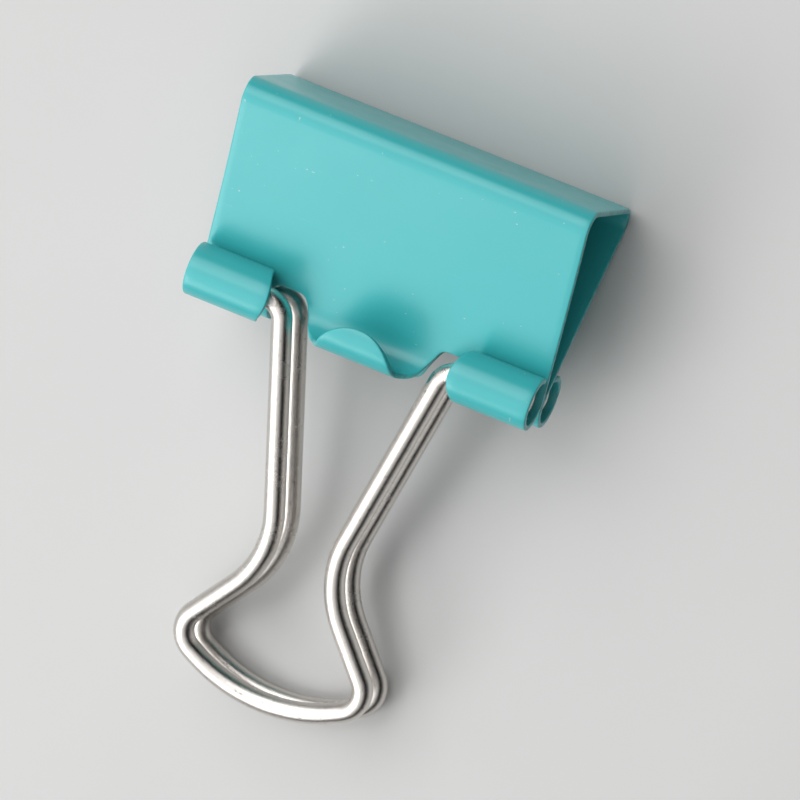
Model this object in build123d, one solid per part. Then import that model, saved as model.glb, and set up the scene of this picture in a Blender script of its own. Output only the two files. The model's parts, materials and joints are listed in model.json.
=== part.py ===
from build123d import *

import os
from math import acos, asin, atan2, degrees, radians, sin

# A 19 mm binder clip: one bent strip of spring steel and two wire handles, both swung out past the jaws.
# The clip lies down, as it does when it's dropped on a table: on the rear edge of its spine and on the
# end of its rear handle. X runs along the jaws, +Y towards the spine, +Z up and out of the front plate.
# The strip is cut along the middle of its spine into a front and a rear half, so that the jaws can open.

# Strip, mm and degrees. Each plate curves slightly inwards between the spine's bend and the rolled jaw.
CLIP_WIDTH = 19.0
SHEET = 0.30
SPINE_WIDTH = 8.23
SPINE_BEND_RADIUS = 0.95  # outer
SPINE_TO_PIVOT = 10.37
PLATE_CURVE_RADIUS = 90.0
BARREL_RADIUS = 1.40  # outer
LIP_GAP = 0.06
BARREL_TURN = 316.0  # the roll all but closes on its plate
TAB_TURN = 225.0  # the middle tab's sheet, before its end is cut round

# Outline of the jaw's edge, to either side of the middle. Distances along the jaw are from the middle,
# and depths are from the spine's outer face.
BARREL_INNER_END = 5.6
BARREL_BULGE = 5.0  # the barrel's inner end, at its outermost
NOTCH_ROOT_DEPTH = 9.68
NOTCH_CORNERS = [(3.80, 9.68), (3.02, 11.45)]  # the notch's straight side runs between these
NOTCH_BENDS = [0.55, 1.0]
TAB_RADIUS = 2.24  # the tab's round end, seen from the front
TAB_END_DEPTH = 10.03

# Wire handles. Corners of half a handle's middle line: distance from the middle, distance from the pivot.
WIRE_DIAMETER = 1.1
WIRE_CORNERS = [(9.2, 0.0), (4.55, 0.0), (1.45, 13.54), (5.65, 19.3), (0.0, 22.64)]
WIRE_BENDS = [1.1, 5.8, 1.4, 8.0]
HANDLE_LEAN = 17.4  # both handles lean to the rear of the plane between the jaws

# Worked out from these
HALF_SHEET = SHEET / 2
BEND_MIDDLE = SPINE_BEND_RADIUS - HALF_SHEET
BARREL_MIDDLE = BARREL_RADIUS - HALF_SHEET
BEND_CENTRE = Vector(-SPINE_BEND_RADIUS, SPINE_WIDTH / 2 - SPINE_BEND_RADIUS)
PIVOT = Vector(-SPINE_TO_PIVOT, BARREL_RADIUS + LIP_GAP / 2)
JAW_DEPTH = SPINE_TO_PIVOT + BARREL_RADIUS
BARREL_TOP_DEPTH = SPINE_TO_PIVOT - BARREL_RADIUS
TAB_QUARTER = degrees(acos((TAB_END_DEPTH + TAB_RADIUS - JAW_DEPTH) / TAB_RADIUS))
TAB_HALF_WIDTH = TAB_RADIUS * sin(radians(TAB_QUARTER))  # where the tab leaves the jaw's edge
CLEAR = 1.0  # how far a cutter runs past what it cuts


def plate_angles():
    """The front plate's directions where it leaves the spine's bend and where it starts to roll."""
    across = PIVOT - BEND_CENTRE
    to_bend = PLATE_CURVE_RADIUS + BEND_MIDDLE
    to_pivot = PLATE_CURVE_RADIUS - BARREL_MIDDLE
    cosine = (to_bend**2 + across.length**2 - to_pivot**2) / (2 * to_bend * across.length)
    at_bend = 360 + degrees(atan2(across.Y, across.X)) - degrees(acos(cosine))
    curve_centre = BEND_CENTRE + Vector(to_bend, 0).rotate(Axis.Z, at_bend)
    to_curve = curve_centre - PIVOT
    return at_bend + 90, degrees(atan2(to_curve.Y, to_curve.X)) + 90


def arc_step(radius, turn):
    """One bend of a path: its length and its turn, positive to the left."""
    return radius * radians(abs(turn)), turn


def side_edges(start, heading, steps, left):
    """The edges that follow a bent path at a distance to its left."""
    point = Vector(start) + Vector(0, left).rotate(Axis.Z, heading)
    edges = []
    for length, turn in steps:
        direction = Vector(1, 0).rotate(Axis.Z, heading)
        if turn == 0:
            edge = Line(point, point + direction * length)
        else:
            middle_radius = length / radians(abs(turn))
            radius = middle_radius - left if turn > 0 else middle_radius + left
            edge = JernArc(point, direction, radius, turn)
        edges.append(edge)
        point = edge @ 1
        heading += turn
    return edges


def strip(start, heading, steps):
    """The section of a sheet that is bent along a path."""
    left = side_edges(start, heading, steps, HALF_SHEET)
    right = side_edges(start, heading, steps, -HALF_SHEET)
    ends = [Line(left[0] @ 0, right[0] @ 0), Line(left[-1] @ 1, right[-1] @ 1)]
    return make_face(left + right + ends)


def half_section(roll):
    """Half of the strip's section, from the middle of the spine to the free edge of the jaw's roll."""
    at_bend, at_roll = plate_angles()
    steps = [
        (BEND_CENTRE.Y, 0),
        arc_step(BEND_MIDDLE, at_bend - 90),
        arc_step(PLATE_CURVE_RADIUS, at_roll - at_bend),
        arc_step(BARREL_MIDDLE, -roll),
    ]
    return strip((-HALF_SHEET, 0), 90, steps)


def along_jaw(section, start, end):
    """A section in the plane across the jaws, drawn out between two places along them."""
    return Pos(start, 0, 0) * extrude(Plane.YZ * section, amount=end - start)


def prism(edges, bottom, top):
    """An outline seen from the front, as a cutter between two heights."""
    return Pos(0, 0, bottom) * extrude(make_face(edges), amount=top - bottom)


def notch_cutter():
    """The gap in the plate beside the tab, up to the height of the pivot."""
    root = (BARREL_BULGE, -NOTCH_ROOT_DEPTH)
    inner = (TAB_HALF_WIDTH, -JAW_DEPTH)
    past_inner = (TAB_HALF_WIDTH, -JAW_DEPTH - CLEAR)
    past_outer = (BARREL_INNER_END, -JAW_DEPTH - CLEAR)
    corner = (BARREL_INNER_END, -NOTCH_ROOT_DEPTH - (BARREL_INNER_END - BARREL_BULGE))
    side = [(x, -depth) for x, depth in NOTCH_CORNERS]
    edges = [
        JernArc(root, (1, 0), BARREL_INNER_END - BARREL_BULGE, -90),
        Line(corner, past_outer),
        Line(past_outer, past_inner),
        Line(past_inner, inner),
        FilletPolyline(inner, *reversed(side), root, radius=list(reversed(NOTCH_BENDS))),
    ]
    return prism(edges, -CLEAR, PIVOT.Y)


def roll_cutter():
    """The gap between the tab's roll and the barrel, above the height of the pivot."""
    top = -(BARREL_TOP_DEPTH - CLEAR)
    bottom = -(JAW_DEPTH + CLEAR)
    edges = [
        JernArc((0, -TAB_END_DEPTH), (1, 0), TAB_RADIUS, -TAB_QUARTER),
        Line((TAB_HALF_WIDTH, -JAW_DEPTH), (TAB_HALF_WIDTH, bottom)),
        Line((TAB_HALF_WIDTH, bottom), (BARREL_INNER_END, bottom)),
        Line((BARREL_INNER_END, bottom), (BARREL_INNER_END, -JAW_DEPTH)),
        ThreePointArc(
            (BARREL_INNER_END, -JAW_DEPTH),
            (BARREL_BULGE, -SPINE_TO_PIVOT),
            (BARREL_INNER_END, -BARREL_TOP_DEPTH),
        ),
        Line((BARREL_INNER_END, -BARREL_TOP_DEPTH), (BARREL_INNER_END, top)),
        Line((BARREL_INNER_END, top), (0, top)),
        Line((0, top), (0, -TAB_END_DEPTH)),
    ]
    return prism(edges, PIVOT.Y, PIVOT.Y + BARREL_RADIUS + CLEAR)


def front_half():
    """The front half of the strip: half the spine, the plate, two barrels and the tab between them."""
    barrels = half_section(BARREL_TURN)
    tab = half_section(TAB_TURN)
    half_width = CLIP_WIDTH / 2
    half = along_jaw(tab, -BARREL_BULGE, BARREL_BULGE)
    half += along_jaw(barrels, BARREL_BULGE, half_width)
    half += along_jaw(barrels, -half_width, -BARREL_BULGE)
    for cutter in (notch_cutter(), roll_cutter()):
        half -= cutter
        half -= mirror(cutter, Plane.YZ)
    return half


def handle():
    """A wire handle in the XY plane, with its pivot on the X axis and its loop towards -Y."""
    half = [(x, -y) for x, y in WIRE_CORNERS]
    points = half + [(-x, y) for x, y in reversed(half[:-1])]
    path = FilletPolyline(*points, radius=WIRE_BENDS + WIRE_BENDS[-2::-1])
    section = Plane(path @ 0, z_dir=path % 0) * Circle(WIRE_DIAMETER / 2)
    return sweep(section, path=path)


def on_pivot(side):
    """A handle on the front (+1) or rear (-1) pivot, leaning to the rear."""
    return Pos(0, PIVOT.X, side * PIVOT.Y) * Rot(HANDLE_LEAN, 0, 0) * handle()


def resting_tilt():
    """The turn about X that brings the spine's rear bend and the rear handle's end to one height."""
    wire_radius = WIRE_DIAMETER / 2
    reach = -handle().bounding_box().min.Y - wire_radius
    handle_end = Vector(PIVOT.X, -PIVOT.Y) + Vector(-reach, 0).rotate(Axis.Z, HANDLE_LEAN)
    rear_bend = Vector(BEND_CENTRE.X, -BEND_CENTRE.Y)
    span = rear_bend - handle_end
    return degrees(asin((SPINE_BEND_RADIUS - wire_radius) / span.length) - atan2(span.Y, span.X))


front_sheet = front_half()
parts = {
    "front_jaw_sheet": front_sheet,
    "rear_jaw_sheet": mirror(front_sheet, Plane.XY),
    "front_handle": on_pivot(1),
    "rear_handle": on_pivot(-1),
}

# Lay the clip down, with the middle of its footprint at the origin.
tilted = {name: Rot(resting_tilt(), 0, 0) * part for name, part in parts.items()}
box = Compound(children=list(tilted.values())).bounding_box()
rest = Pos(0, -box.center().Y, -box.min.Z) * Rot(resting_tilt(), 0, 0)

os.makedirs("parts", exist_ok=True)
for name, part in parts.items():
    export_step(rest * part, f"parts/{name}.step")

# Where the joints are
print("tilt", resting_tilt(), "plate directions", plate_angles())
print("spine hinge", (rest * Pos(0, 0, 0)).position)
print("front pivot", (rest * Pos(0, PIVOT.X, PIVOT.Y)).position)
print("rear pivot", (rest * Pos(0, PIVOT.X, -PIVOT.Y)).position)
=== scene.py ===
import json
from math import acos, atan2, ceil, cos, pi, radians, sin, tan

import bmesh
import bpy
import numpy as np
from mathutils import Matrix, Vector
from mathutils.geometry import delaunay_2d_cdt


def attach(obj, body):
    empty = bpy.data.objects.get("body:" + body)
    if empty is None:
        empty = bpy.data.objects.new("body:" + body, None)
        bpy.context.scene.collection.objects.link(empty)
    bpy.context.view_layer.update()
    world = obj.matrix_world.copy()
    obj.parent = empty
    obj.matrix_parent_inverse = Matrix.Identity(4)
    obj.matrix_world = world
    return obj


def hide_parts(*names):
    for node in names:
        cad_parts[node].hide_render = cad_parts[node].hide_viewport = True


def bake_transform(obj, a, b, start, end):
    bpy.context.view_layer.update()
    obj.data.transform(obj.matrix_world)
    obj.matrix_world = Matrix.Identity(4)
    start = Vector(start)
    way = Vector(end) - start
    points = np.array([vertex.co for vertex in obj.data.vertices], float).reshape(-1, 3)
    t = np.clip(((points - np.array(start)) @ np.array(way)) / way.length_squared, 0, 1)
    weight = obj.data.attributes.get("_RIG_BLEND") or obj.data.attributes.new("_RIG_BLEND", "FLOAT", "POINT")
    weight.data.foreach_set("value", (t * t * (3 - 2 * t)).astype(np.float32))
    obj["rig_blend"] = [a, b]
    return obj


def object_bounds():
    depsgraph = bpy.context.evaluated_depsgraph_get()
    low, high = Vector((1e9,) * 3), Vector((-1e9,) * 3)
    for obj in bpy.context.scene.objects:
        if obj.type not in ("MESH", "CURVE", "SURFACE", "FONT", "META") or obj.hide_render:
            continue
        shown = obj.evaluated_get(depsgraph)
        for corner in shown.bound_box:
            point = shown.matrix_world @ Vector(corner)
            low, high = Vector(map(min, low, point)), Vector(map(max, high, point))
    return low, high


# A small binder clip: one bent, enamelled strip of spring steel and two plated wire handles.
# Shapes are worked out in the clip's own frame, in millimetres, with its origin at the middle of the
# spine's outer face: x along the jaws, y towards the back of the spine, z out of the front plate.
MM = 0.001

# The strip, as in the CAD
HALF_WIDTH = 9.5
SHEET = 0.30
SPINE_WIDTH = 8.23
SPINE_BEND_RADIUS = 0.95
PLATE_CURVE_RADIUS = 90.0
BARREL_RADIUS = 1.40
BARREL_TURN = 316.0
BARREL_INNER_END = 5.6
BARREL_BULGE = 5.0
NOTCH_ROOT_DEPTH = 9.68
NOTCH_CORNERS = [(3.80, 9.68), (3.02, 11.45)]
NOTCH_BENDS = [0.55, 1.0]
TAB_RADIUS = 2.24
TAB_END_DEPTH = 10.03

# The wire, as in the CAD: corners of half a handle and the radii that round them
WIRE_RADIUS = 0.55
WIRE_CORNERS = [(9.2, 0.0), (4.55, 0.0), (1.45, 13.54), (5.65, 19.3), (0.0, 22.64)]
WIRE_BENDS = [1.1, 5.8, 1.4, 8.0]
HANDLE_LEAN = radians(17.4)

# Only in the looks
FREE_CORNER = 0.35  # the rounded corners of each barrel's free edge
EDGE_ROUND = 0.08  # the softened edges of the punched sheet
EDGE_STEPS = 3
TAB_TIP = 0.25  # half the width of the tab's end, which closes its round outline
TAB_HALF_WIDTH = TAB_RADIUS * 0.97  # about where the tab leaves the jaw's edge
ROLL_TURNOVER = 0.5  # the height over which a barrel's end goes from its straight side to its bulge

# How finely the meshes are made, mm
OUTLINE_STEP = 0.12
NOTCH_STEP = 0.05  # and in radians round its corners
FLAT_STEP = 0.35
SPINE_BEND_STEP = 0.09
ROLL_STEP = 0.11
ACROSS_STEP = 0.40
RIM_GAP = 0.07  # between the punched edge and the first points inside it
WIRE_STEP = 0.5
CORNER_POINTS = 12
FINE = 4000  # how many samples a curve has before its points are spaced evenly
WIRE_SIDES = 36
END_RINGS = [(0.03, -0.03), (0.10, 0.0), (0.30, -0.015), (0.60, -0.025)]  # share of the way in, rise
END_DIP = 0.045
END_TEAR = 0.035
END_TEAR_WIDTH = 0.3

# The camera's right and backward directions in the clip's own frame, and its distance in metres
VIEW_RIGHT = Vector((0.9027, 0.3421, -0.2610)).normalized()
VIEW_OUT = Vector((0.2262, 0.1386, 0.9642)).normalized()
VIEW_DISTANCE = 0.45
VIEW_MARGIN = 1.22  # the picture's width, over the clip's longer side as the camera sees it


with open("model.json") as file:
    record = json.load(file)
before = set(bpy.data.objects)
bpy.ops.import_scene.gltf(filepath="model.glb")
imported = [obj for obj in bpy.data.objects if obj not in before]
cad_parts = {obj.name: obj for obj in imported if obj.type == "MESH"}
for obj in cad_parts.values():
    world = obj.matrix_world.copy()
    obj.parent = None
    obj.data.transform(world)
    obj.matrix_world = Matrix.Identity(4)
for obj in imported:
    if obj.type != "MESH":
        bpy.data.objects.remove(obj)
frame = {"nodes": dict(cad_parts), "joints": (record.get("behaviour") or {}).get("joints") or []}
cad_low, cad_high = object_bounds()
joints = {joint["name"]: Vector(joint["pos_m"]) for joint in frame["joints"]}
spine_hinge = joints["jaw_flex"]
front_pivot = joints["front_handle_swing"]
rear_pivot = joints["rear_handle_swing"]

# Where the clip's own frame lies in the row's frame
clip_x = Vector((1, 0, 0))
clip_z = (front_pivot - rear_pivot).normalized()
clip_y = clip_z.cross(clip_x)
CLIP = Matrix((clip_x, clip_y, clip_z)).transposed().to_4x4()
CLIP.translation = spine_hinge
PIVOT_Y = (front_pivot - spine_hinge).dot(clip_y) / MM
PIVOT_Z = (front_pivot - spine_hinge).dot(clip_z) / MM


def in_row(x, y, z):
    """A point of the clip's own frame, in the row's frame."""
    return CLIP @ Vector((x * MM, y * MM, z * MM))


# ---------------------------------------------------------------- nodes


class Nodes:
    """Short ways to add shader nodes to a material or world."""

    def __init__(self, owner):
        owner.use_nodes = True
        self.tree = owner.node_tree
        self.tree.nodes.clear()

    def add(self, kind, inputs=None, **settings):
        node = self.tree.nodes.new(kind)
        for key, value in settings.items():
            setattr(node, key, value)
        for key, value in (inputs or {}).items():
            if isinstance(value, bpy.types.NodeSocket):
                self.tree.links.new(value, node.inputs[key])
            else:
                node.inputs[key].default_value = value
        return node

    def noise(self, vector, scale, detail=2.0, roughness=0.5, distortion=0.0):
        inputs = {"Vector": vector, "Scale": scale, "Detail": detail, "Roughness": roughness}
        return self.add("ShaderNodeTexNoise", inputs | {"Distortion": distortion}).outputs["Fac"]

    def stretch(self, vector, scale):
        return self.add("ShaderNodeMapping", {"Vector": vector, "Scale": scale}).outputs["Vector"]

    def ramp(self, value, low, high, to_low=0.0, to_high=1.0):
        inputs = {"Value": value, "From Min": low, "From Max": high, "To Min": to_low, "To Max": to_high}
        return self.add("ShaderNodeMapRange", inputs, interpolation_type="SMOOTHSTEP").outputs["Result"]

    def math(self, operation, a, b=0.0):
        return self.add("ShaderNodeMath", {0: a, 1: b}, operation=operation).outputs["Value"]

    def mix(self, factor, a, b):
        return self.add("ShaderNodeMix", {0: factor, 6: a, 7: b}, data_type="RGBA").outputs[2]


def grey(value):
    return (value, value, value, 1.0)


def enamel():
    """Turquoise enamel on sheet steel: orange peel, dust, scuffs, and paint that thins on cut edges, where
    the edges are also darkened as painted shade.
    """
    material = bpy.data.materials.new("turquoise_enamel")
    n = Nodes(material)
    place = n.add("ShaderNodeAttribute", attribute_name="flat_place").outputs["Vector"]
    cloud = n.noise(place, 0.13, detail=3.0)
    edge = n.add("ShaderNodeAttribute", attribute_name="cut_edge").outputs["Fac"]
    broken = n.ramp(n.noise(place, 2.6, detail=3.0), 0.42, 0.62)
    # Painted shade: the cut edges are darkened in patches, partly for paint that thins there and partly for
    # the shade that falls on the cut face.
    thin_paint_and_edge_shade = n.math("MULTIPLY", n.ramp(edge, 0.35, 0.9), broken)
    dust = n.ramp(n.noise(place, 5.0, detail=0.0), 0.84, 0.87)
    scratch_place = n.stretch(place, (0.7, 9.0, 9.0))
    scratches = n.ramp(n.noise(scratch_place, 1.0, detail=1.0, distortion=0.4), 0.74, 0.80)
    deep = (0.036, 0.430, 0.450, 1.0)
    pale = (0.046, 0.470, 0.485, 1.0)
    scuffed = (0.10, 0.52, 0.54, 1.0)
    dusty = (0.55, 0.62, 0.62, 1.0)
    # A dark teal for the cut edges: thinned paint, and painted shade on the cut face.
    thinned_and_shaded_edge = (0.04, 0.17, 0.18, 1.0)
    paint = n.mix(cloud, deep, pale)
    paint = n.mix(n.math("MULTIPLY", scratches, 0.25), paint, scuffed)
    paint = n.mix(n.math("MULTIPLY", dust, 0.5), paint, dusty)
    paint = n.mix(n.math("MULTIPLY", thin_paint_and_edge_shade, 0.5), paint, thinned_and_shaded_edge)
    peel = n.noise(place, 1.5, detail=1.0)
    wave = n.noise(place, 0.19, detail=1.0)
    height = n.math("ADD", n.math("MULTIPLY", peel, 0.25), wave)
    height = n.math("ADD", height, n.math("MULTIPLY", dust, 0.6))
    bump = n.add("ShaderNodeBump", {"Strength": 0.10, "Distance": 0.00006, "Height": height})
    smudge = n.noise(place, 0.32, detail=4.0, roughness=0.6)
    roughness = n.ramp(smudge, 0.3, 0.7, 0.36, 0.44)
    roughness = n.math("ADD", roughness, n.math("MULTIPLY", dust, 0.3))
    shader = n.add(
        "ShaderNodeBsdfPrincipled",
        {
            "Base Color": paint,
            "Roughness": roughness,
            "Normal": bump.outputs["Normal"],
            "Specular IOR Level": 0.40,
            "Coat Weight": 0.50,
            "Coat Roughness": 0.26,
        },
    )
    n.add("ShaderNodeOutputMaterial", {"Surface": shader.outputs["BSDF"]})
    return material


def plated_wire():
    """Bright nickel plate over drawn wire: lines along the wire, fine pits and a few rub marks."""
    material = bpy.data.materials.new("plated_wire")
    n = Nodes(material)
    along = n.add("ShaderNodeUVMap", uv_map="along_wire").outputs["UV"]
    place = n.add("ShaderNodeTexCoord").outputs["Object"]
    lines = n.noise(n.stretch(along, (120.0, 26.0, 1.0)), 1.0, detail=4.0, roughness=0.65)
    fine = n.noise(n.stretch(along, (260.0, 90.0, 1.0)), 1.0, detail=2.0)
    pits = n.ramp(n.noise(place, 5200.0, detail=1.0), 0.70, 0.76)
    rubs = n.ramp(n.noise(place, 650.0, detail=3.0, roughness=0.6), 0.52, 0.70)
    dull = (0.58, 0.545, 0.51, 1.0)
    bright = (0.80, 0.765, 0.725, 1.0)
    pitted = (0.16, 0.14, 0.12, 1.0)
    metal = n.mix(lines, dull, bright)
    metal = n.mix(n.math("MULTIPLY", pits, 0.6), metal, pitted)
    height = n.math("ADD", lines, n.math("MULTIPLY", fine, 0.5))
    height = n.math("SUBTRACT", height, n.math("MULTIPLY", pits, 0.8))
    bump = n.add("ShaderNodeBump", {"Strength": 0.24, "Distance": 0.00003, "Height": height})
    roughness = n.math("ADD", n.ramp(rubs, 0.0, 1.0, 0.12, 0.26), n.math("MULTIPLY", lines, 0.08))
    shader = n.add(
        "ShaderNodeBsdfPrincipled",
        {"Base Color": metal, "Metallic": 1.0, "Roughness": roughness, "Normal": bump.outputs["Normal"]},
    )
    n.add("ShaderNodeOutputMaterial", {"Surface": shader.outputs["BSDF"]})
    return material


# ---------------------------------------------------------------- the strip

ROLL_MIDDLE = BARREL_RADIUS - SHEET / 2
PIVOT_DEPTH = -PIVOT_Y
JAW_DEPTH = PIVOT_DEPTH + BARREL_RADIUS
TAB_CENTRE_DEPTH = TAB_END_DEPTH + TAB_RADIUS


def plate_angles():
    """The front plate's directions where it leaves the spine's bend and where it starts to roll."""
    bend = Vector((-SPINE_BEND_RADIUS, SPINE_WIDTH / 2 - SPINE_BEND_RADIUS))
    pivot = Vector((PIVOT_Y, PIVOT_Z))
    across = pivot - bend
    to_bend = PLATE_CURVE_RADIUS + SPINE_BEND_RADIUS - SHEET / 2
    to_pivot = PLATE_CURVE_RADIUS - ROLL_MIDDLE
    cosine = (to_bend**2 + across.length**2 - to_pivot**2) / (2 * to_bend * across.length)
    at_bend = 2 * pi + atan2(across.y, across.x) - acos(cosine)
    to_curve = bend + to_bend * Vector((cos(at_bend), sin(at_bend))) - pivot
    return at_bend + pi / 2, atan2(to_curve.y, to_curve.x) + pi / 2


def middle_line():
    """Half the strip's middle line, from the middle of the spine to the free edge: lengths, places
    (y and z) and headings, finely sampled, and the lengths at which its steps end."""
    at_bend, at_roll = plate_angles()
    steps = [
        (SPINE_WIDTH / 2 - SPINE_BEND_RADIUS, 0.0),
        ((SPINE_BEND_RADIUS - SHEET / 2) * (at_bend - pi / 2), at_bend - pi / 2),
        (PLATE_CURVE_RADIUS * (at_bend - at_roll), at_roll - at_bend),
        (ROLL_MIDDLE * radians(BARREL_TURN), -radians(BARREL_TURN)),
    ]
    ends = np.cumsum([length for length, turn in steps])
    lengths = np.linspace(0, ends[-1], 2 * FINE + 1)
    headings = np.interp(lengths, [0, *ends], pi / 2 + np.cumsum([0, *(turn for length, turn in steps)]))
    middles = (headings[1:] + headings[:-1]) / 2
    pace = lengths[1]
    y = -SHEET / 2 + np.cumsum([0, *(pace * np.cos(middles))])
    z = np.cumsum([0, *(pace * np.sin(middles))])
    return lengths, y, z, headings, ends


LENGTHS, LINE_Y, LINE_Z, HEADINGS, STEP_ENDS = middle_line()
BEND_START, BEND_END, ROLL_START, FREE_EDGE = STEP_ENDS
DEEPEST = LENGTHS[np.argmin(LINE_Y)]


def length_at(depth, past_jaw=False):
    """The length along the strip at a depth, before or after it turns round at the jaw's edge."""
    reach = LENGTHS > DEEPEST if past_jaw else LENGTHS <= DEEPEST
    depths, lengths = -LINE_Y[reach], LENGTHS[reach]
    if past_jaw:
        lengths = lengths[: np.argmin(depths)]
        return np.interp(-depth, -depths[: len(lengths)], lengths)
    return np.interp(depth, depths, lengths)


def depth_of(length):
    return np.interp(length, LENGTHS, -LINE_Y)


def smooth(value):
    value = np.clip(value, 0.0, 1.0)
    return value * value * (3 - 2 * value)


def outer_side(length):
    """0 where the roll is nearer than its pivot to the plane between the jaws, 1 where it is further."""
    return smooth(0.5 + (np.interp(length, LENGTHS, LINE_Z) - PIVOT_Z) / ROLL_TURNOVER)


def rounded(corners, radii, run_step, turn_step):
    """Points along straight runs whose corners are rounded by arcs."""
    points = [Vector(corners[0])]

    def run_to(end):
        start = points[-1]
        count = ceil((end - start).length / run_step)
        points.extend(start.lerp(end, i / count) for i in range(1, count + 1))

    for before, corner, after, radius in zip(corners, corners[1:], corners[2:], radii):
        corner = Vector(corner)
        back, on = (Vector(before) - corner).normalized(), (Vector(after) - corner).normalized()
        half_angle = back.angle(on) / 2
        centre = corner + (back + on).normalized() * radius / sin(half_angle)
        first = corner + back * radius / tan(half_angle) - centre
        turn = pi - 2 * half_angle
        if back.cross(on) > 0:
            turn = -turn
        run_to(centre + first)
        count = ceil(abs(turn) / turn_step)
        points.extend(centre + Matrix.Rotation(turn * i / count, 2) @ first for i in range(1, count + 1))
    run_to(Vector(corners[-1]))
    return points


def tab_side(lengths):
    """Half the width of the tab's stretch of the strip, from the notch's root to the tab's tip."""
    corners = [(BARREL_BULGE, NOTCH_ROOT_DEPTH), *NOTCH_CORNERS, (TAB_HALF_WIDTH, JAW_DEPTH)]
    side = rounded(corners, NOTCH_BENDS, run_step=NOTCH_STEP, turn_step=NOTCH_STEP)
    notch = np.interp(depth_of(lengths), [p.y for p in side], [p.x for p in side])
    drop = TAB_CENTRE_DEPTH - np.clip(depth_of(lengths), TAB_END_DEPTH, JAW_DEPTH)
    tab = (TAB_RADIUS**2 - drop**2) ** 0.5
    last_depth = NOTCH_CORNERS[-1][1]
    start, end = length_at(last_depth), length_at(last_depth, past_jaw=True)
    return notch + (tab - notch) * smooth((lengths - start) / (end - start))


def barrel_side(lengths):
    """Where a barrel's stretch of the strip starts, away from the middle."""
    depths = depth_of(lengths)
    setback = BARREL_INNER_END - BARREL_BULGE
    bulge = (BARREL_RADIUS**2 + setback**2) / (2 * setback)
    curved = BARREL_BULGE + bulge - (bulge**2 - (depths - PIVOT_DEPTH) ** 2) ** 0.5
    rise = np.where(lengths < ROLL_START, NOTCH_ROOT_DEPTH + setback - depths, 0.0)
    straight = BARREL_BULGE + (setback**2 - np.clip(rise, 0.0, setback) ** 2) ** 0.5
    corner = np.clip(lengths - (FREE_EDGE - FREE_CORNER), 0.0, FREE_CORNER)
    side = straight + (curved - straight) * outer_side(lengths)
    return side + FREE_CORNER - (FREE_CORNER**2 - corner**2) ** 0.5


def quarter_outline():
    """The flat strip's outline in its first quarter, from the middle of its end to the tab's tip."""
    root = length_at(NOTCH_ROOT_DEPTH)
    tip_depth = TAB_CENTRE_DEPTH - (TAB_RADIUS**2 - TAB_TIP**2) ** 0.5
    tip = length_at(tip_depth, past_jaw=True)
    turn = np.linspace(0, pi / 2, CORNER_POINTS)
    end_corner = np.c_[
        HALF_WIDTH - FREE_CORNER * (1 - np.cos(turn)), FREE_EDGE - FREE_CORNER * (1 - np.sin(turn))
    ]
    along_barrel = FREE_EDGE - (FREE_EDGE - root) * np.linspace(0, 1, FINE)
    along_tab = np.linspace(root, tip, FINE)
    points = [
        [[HALF_WIDTH, 0.0]],
        end_corner,
        np.c_[barrel_side(along_barrel), along_barrel],
        np.c_[tab_side(along_tab), along_tab],
        [[0.0, tip]],
    ]
    return np.concatenate(points)


def evenly(points, step):
    """A path's points, spaced evenly along it."""
    gaps = np.linalg.norm(np.diff(points, axis=0), axis=1)
    lengths = np.concatenate([[0], np.cumsum(gaps)])
    places = np.linspace(0, lengths[-1], ceil(lengths[-1] / step) + 1)
    return np.c_[np.interp(places, lengths, points[:, 0]), np.interp(places, lengths, points[:, 1])]


def outline():
    """The whole flat strip's outline, with the direction inwards at each of its points."""
    quarter = evenly(quarter_outline(), OUTLINE_STEP)
    half = np.concatenate([quarter, quarter[-2::-1] * (-1, 1)])
    points = np.concatenate([half, half[-2:0:-1] * (1, -1)])
    tangents = np.roll(points, -1, axis=0) - np.roll(points, 1, axis=0)
    tangents /= np.linalg.norm(tangents, axis=1)[:, None]
    return points, np.c_[-tangents[:, 1], tangents[:, 0]]


def spaced(start, end, step):
    """Places from start to end, at most a step apart."""
    return np.linspace(start, end, ceil((end - start) / step) + 1)


def inner_points(border):
    """A grid of points inside a border, dense along the strip where it bends."""
    half = np.concatenate([
        spaced(0, BEND_START, FLAT_STEP),
        spaced(BEND_START, BEND_END, SPINE_BEND_STEP)[1:],
        spaced(BEND_END, ROLL_START, FLAT_STEP)[1:],
        spaced(ROLL_START, FREE_EDGE, ROLL_STEP)[1:],
    ])
    rows = np.concatenate([-half[:0:-1], half])
    grid = np.array([(x, s) for s in rows for x in spaced(-HALF_WIDTH, HALF_WIDTH, ACROSS_STEP)])
    inside = np.zeros(len(grid), bool)
    nearest = np.full(len(grid), np.inf)
    for a, b in zip(border, np.roll(border, -1, axis=0)):
        crosses = (a[1] > grid[:, 1]) != (b[1] > grid[:, 1])
        if crosses.any():
            at = a[0] + (grid[crosses, 1] - a[1]) / (b[1] - a[1]) * (b[0] - a[0])
            inside[crosses] ^= grid[crosses, 0] < at
        nearest = np.minimum(nearest, np.linalg.norm(grid - a, axis=1))
    return grid[inside & (nearest > RIM_GAP)]


def bent(flat):
    """Points of the flat strip (across, along, height over its middle) bent into the clip's frame."""
    along = np.abs(flat[:, 1])
    side = np.where(flat[:, 1] < 0, -1.0, 1.0)
    heading = np.interp(along, LENGTHS, HEADINGS)
    y = np.interp(along, LENGTHS, LINE_Y) + flat[:, 2] * np.sin(heading)
    z = np.interp(along, LENGTHS, LINE_Z) - flat[:, 2] * np.cos(heading)
    return np.c_[flat[:, 0], y, side * z]


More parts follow.
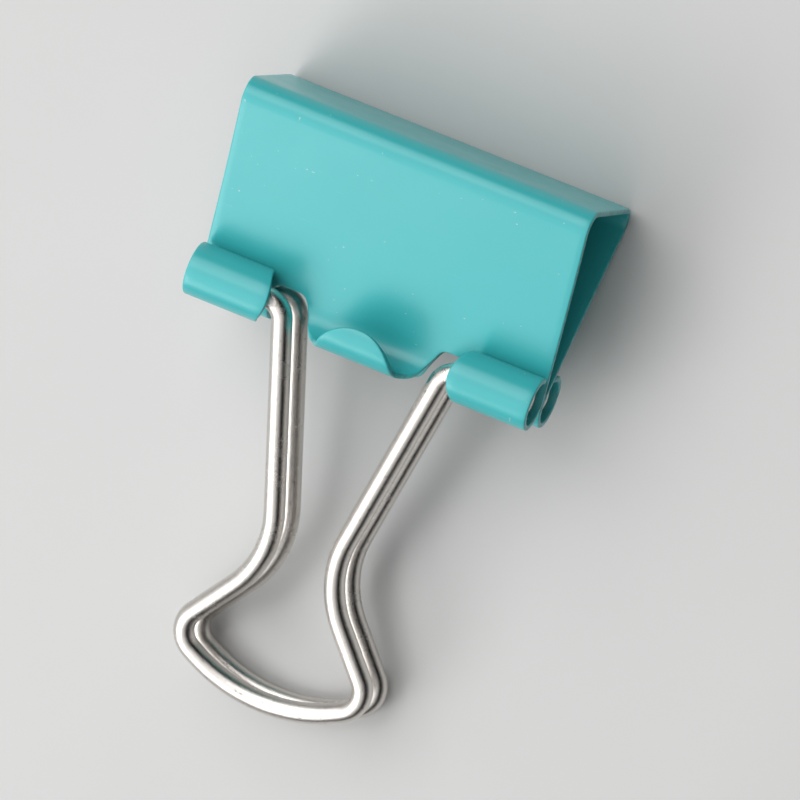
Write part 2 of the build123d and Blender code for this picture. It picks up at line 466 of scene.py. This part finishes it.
def rim_layers(border, inwards):
    """Rings of points round the punched edge, from the top face to the bottom one, each with its share
    of the cut edge: 0 where it meets a face, 1 on the edge itself."""
    rim = []
    for step in range(2 * EDGE_STEPS + 2):
        turn = pi / 2 * min(step, EDGE_STEPS) / EDGE_STEPS
        if step > EDGE_STEPS:
            turn = pi / 2 * (2 * EDGE_STEPS + 1 - step) / EDGE_STEPS
        height = SHEET / 2 - EDGE_ROUND * (1 - cos(turn))
        inset = EDGE_ROUND * (1 - sin(turn))
        heights = np.full(len(border), height if step <= EDGE_STEPS else -height)
        rim.append((np.c_[border + inset * inwards, heights], sin(turn)))
    return rim


def strip_mesh():
    """The strip as a closed sheet with softened punched edges. Each vertex keeps its place on the flat
    strip, and how much of it belongs to the cut edge."""
    rim = rim_layers(*outline())
    face_border = rim[0][0][:, :2]
    inner = inner_points(face_border)
    flat = np.concatenate([face_border, inner])
    count = len(face_border)
    ring = [(i, (i + 1) % count) for i in range(count)]
    only_inside, tolerance = 1, 1e-6
    found = delaunay_2d_cdt([Vector(p) for p in flat], ring, [], only_inside, tolerance)
    found_faces, given_points = found[2], found[3]
    triangles = [[given_points[v][0] for v in face] for face in found_faces]

    places = [layer for layer, share in rim]
    edge = [np.full(count, share) for layer, share in rim]
    for height in (SHEET / 2, -SHEET / 2):
        places.append(np.c_[inner, np.full(len(inner), height)])
        edge.append(np.zeros(len(inner)))
    places, edge = np.concatenate(places), np.concatenate(edge)
    last_ring = (len(rim) - 1) * count
    top_inner = last_ring + count
    bottom_inner = top_inner + len(inner)
    faces = []
    for a, b, c in triangles:
        top = [v if v < count else v - count + top_inner for v in (c, b, a)]
        bottom = [v + last_ring if v < count else v - count + bottom_inner for v in (a, b, c)]
        faces += [top, bottom]
    for layer in range(len(rim) - 1):
        upper, lower = layer * count, (layer + 1) * count
        faces += [(upper + i, upper + j, lower + j, lower + i) for i, j in ring]

    data = bpy.data.meshes.new("strip")
    rotation = np.array(CLIP.to_3x3())
    data.from_pydata(bent(places) @ rotation.T * MM + np.array(CLIP.translation), [], faces)
    data.attributes.new("cut_edge", "FLOAT", "POINT").data.foreach_set("value", edge)
    flat_place = data.attributes.new("flat_place", "FLOAT_VECTOR", "POINT")
    flat_place.data.foreach_set("vector", places.ravel())
    data.shade_smooth()
    return data


def build_strip(material):
    """The whole body. When the jaw opens, its spine bends smoothly between the far ends of its bends."""
    strip = new_object("spring_body", strip_mesh())
    data = strip.data
    data.materials.append(material)
    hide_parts("front_jaw_sheet", "rear_jaw_sheet")
    start, end = in_row(0, 0, -SPINE_WIDTH / 2), in_row(0, 0, SPINE_WIDTH / 2)
    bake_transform(strip, "rear_jaw", "front_jaw", start, end)

    # These weights replace them and go by the length along the strip, so that each plate follows its own
    # half of the CAD from its bend onwards.
    flat = np.zeros(len(data.vertices) * 3, np.float32)
    data.attributes["flat_place"].data.foreach_get("vector", flat)
    along = flat[1::3]
    weights = smooth(0.5 + along / (2 * BEND_END))
    data.attributes["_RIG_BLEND"].data.foreach_set("value", weights.astype(np.float32))


# ---------------------------------------------------------------- the handles


def wire_mesh():
    """A handle's wire in its own plane, with sheared ends."""
    corners = WIRE_CORNERS + [(-x, y) for x, y in reversed(WIRE_CORNERS[:-1])]
    radii = WIRE_BENDS + WIRE_BENDS[-2::-1]
    points = rounded(corners, radii, run_step=WIRE_STEP, turn_step=radians(4))
    mesh = bmesh.new()
    along_wire = mesh.loops.layers.uv.new("along_wire")
    rings, lengths = [], [0.0]
    for i, point in enumerate(points):
        ahead, behind = points[min(i + 1, len(points) - 1)], points[max(i - 1, 0)]
        direction = (ahead - behind).normalized()
        sideways = Vector((-direction.y, direction.x)) * WIRE_RADIUS * MM
        lengths.append(lengths[-1] + (ahead - point).length)
        ring = []
        for k in range(WIRE_SIDES):
            angle = 2 * pi * k / WIRE_SIDES
            place = point * MM + sideways * cos(angle)
            ring.append(mesh.verts.new((place.x, place.y, sin(angle) * WIRE_RADIUS * MM)))
        rings.append(ring)
    for i, (one, two) in enumerate(zip(rings, rings[1:])):
        for k, face in enumerate(bridge(mesh, one, two)):
            places = [(i, k), (i, k + 1), (i + 1, k + 1), (i + 1, k)]
            for loop, (ring, side) in zip(face.loops, places):
                loop[along_wire].uv = (2 * pi * WIRE_RADIUS * side / WIRE_SIDES, lengths[ring])
    for ring, side in ((rings[0], 1), (rings[-1], -1)):
        shear_end(mesh, ring, side)
    bmesh.ops.recalc_face_normals(mesh, faces=mesh.faces)
    data = bpy.data.meshes.new("wire")
    mesh.to_mesh(data)
    mesh.free()
    data.shade_smooth()
    return data


def bridge(mesh, one, two):
    """Faces between two rings of vertices."""
    pairs = [(k, (k + 1) % len(one)) for k in range(len(one))]
    return [mesh.faces.new((one[k], one[j], two[j], two[k])) for k, j in pairs]


def shear_end(mesh, ring, side):
    """Closes a wire's end: a small rounded lip and a sheared face, one half of it torn a little lower.
    The first ring is the lip's, which stays even."""
    centre = sum((v.co for v in ring), Vector()) / len(ring)
    previous = ring
    for step, (inset, rise) in enumerate(END_RINGS):
        layer = []
        for vert in ring:
            place = centre.lerp(vert.co, 1 - inset)
            tear = END_TEAR * smooth(0.5 + (vert.co.z - centre.z) / (END_TEAR_WIDTH * MM))
            place.x += side * (rise - tear * (step > 0)) * MM
            layer.append(mesh.verts.new(place))
        bridge(mesh, previous, layer)
        previous = layer
    tip = mesh.verts.new(centre + Vector((side * -END_DIP * MM, 0, 0)))
    for k, vert in enumerate(previous):
        mesh.faces.new((vert, previous[(k + 1) % len(previous)], tip))


def build_handle(name, body, side, material):
    """One handle in its barrels on the front (+1) or rear (-1) plate."""
    handle = new_object(name, wire_mesh())
    handle.data.materials.append(material)
    outwards = Vector((0, -cos(HANDLE_LEAN), -sin(HANDLE_LEAN)))
    place = Matrix((clip_x, outwards, clip_x.cross(outwards))).transposed().to_4x4()
    place.translation = Vector((0, PIVOT_Y, side * PIVOT_Z)) * MM
    handle.data.transform(CLIP @ place)
    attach(handle, body)
    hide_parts(body)


def new_object(name, data):
    obj = bpy.data.objects.new(name, data)
    bpy.context.scene.collection.objects.link(obj)
    return obj


# ---------------------------------------------------------------- floor, light and camera


def build_floor():
    data = bpy.data.meshes.new("floor")
    reach = 3.0
    corners = [(-reach, -reach, 0), (reach, -reach, 0), (reach, reach, 0), (-reach, reach, 0)]
    data.from_pydata(corners, [], [(0, 1, 2, 3)])
    floor = new_object("floor", data)
    floor.location.z = cad_low.z
    material = bpy.data.materials.new("pale_floor")
    n = Nodes(material)
    place = n.add("ShaderNodeTexCoord").outputs["Object"]
    mottle = n.noise(place, 60.0, detail=4.0)
    colour = n.mix(mottle, (0.56, 0.56, 0.555, 1.0), (0.60, 0.60, 0.595, 1.0))
    shader = n.add("ShaderNodeBsdfPrincipled", {"Base Color": colour, "Roughness": 0.6})
    n.add("ShaderNodeOutputMaterial", {"Surface": shader.outputs["BSDF"]})
    data.materials.append(material)


def build_world():
    world = bpy.data.worlds.new("studio")
    bpy.context.scene.world = world
    n = Nodes(world)
    direction = n.add("ShaderNodeTexCoord").outputs["Generated"]
    brightest = Vector((-0.42, -0.25, 0.85)).normalized()
    towards = n.add("ShaderNodeVectorMath", {0: direction, 1: brightest}, operation="DOT_PRODUCT")
    dark, bright = grey(0.02), grey(1.15)
    sky = n.mix(n.ramp(towards.outputs["Value"], 0.40, 0.82), dark, bright)
    background = n.add("ShaderNodeBackground", {"Color": sky})
    n.add("ShaderNodeOutputWorld", {"Surface": background.outputs["Background"]})


def softbox(name, towards, distance, width, height, brightness):
    """A rectangular light that faces the clip from a direction in the clip's own frame. Its distance and
    size are in metres, and its brightness is its radiance."""
    data = bpy.data.lights.new(name, "AREA")
    data.shape = "RECTANGLE"
    data.size, data.size_y = width, height
    data.energy = brightness * pi * width * height
    out = (CLIP.to_3x3() @ Vector(towards)).normalized()
    across = clip_y.cross(out).normalized()
    axes = Matrix((across, out.cross(across), out)).transposed()
    new_object(name, data).matrix_world = Matrix.Translation(middle + out * distance) @ axes.to_4x4()


def build_camera():
    """The photograph's direction of view, square on enough to the front plate to see its whole face."""
    right, out = CLIP.to_3x3() @ VIEW_RIGHT, CLIP.to_3x3() @ VIEW_OUT
    up = out.cross(right)
    axes = Matrix((right, up, out))
    points = [axes @ (v.co - middle) for node in frame["nodes"].values() for v in node.data.vertices]
    low = Vector([min(p[i] for p in points) for i in range(3)])
    high = Vector([max(p[i] for p in points) for i in range(3)])
    centre = middle + axes.transposed() @ ((low + high) / 2)
    span = max(high.x - low.x, high.y - low.y) * VIEW_MARGIN
    data = bpy.data.cameras.new("camera")
    data.lens = data.sensor_width * VIEW_DISTANCE / span
    data.clip_start, data.clip_end = 0.01, 20
    camera = new_object("camera", data)
    camera.matrix_world = Matrix.Translation(centre + out * VIEW_DISTANCE) @ axes.transposed().to_4x4()
    bpy.context.scene.camera = camera
    bpy.context.scene.view_settings.view_transform = "Standard"


middle = (cad_low + cad_high) / 2
paint, plate = enamel(), plated_wire()
build_strip(paint)
build_handle("front_wire_handle", "front_handle", 1, plate)
build_handle("rear_wire_handle", "rear_handle", -1, plate)
build_floor()
build_world()
build_camera()
softbox("key", (-0.50, -0.30, 0.85), distance=0.50, width=0.40, height=0.32, brightness=0.6)
softbox("overhead", (-0.38, 0.50, 0.85), distance=0.45, width=0.32, height=0.36, brightness=2.5)
softbox("plate_glow", (-0.47, -0.72, 0.51), distance=0.18, width=0.08, height=0.11, brightness=3.4)
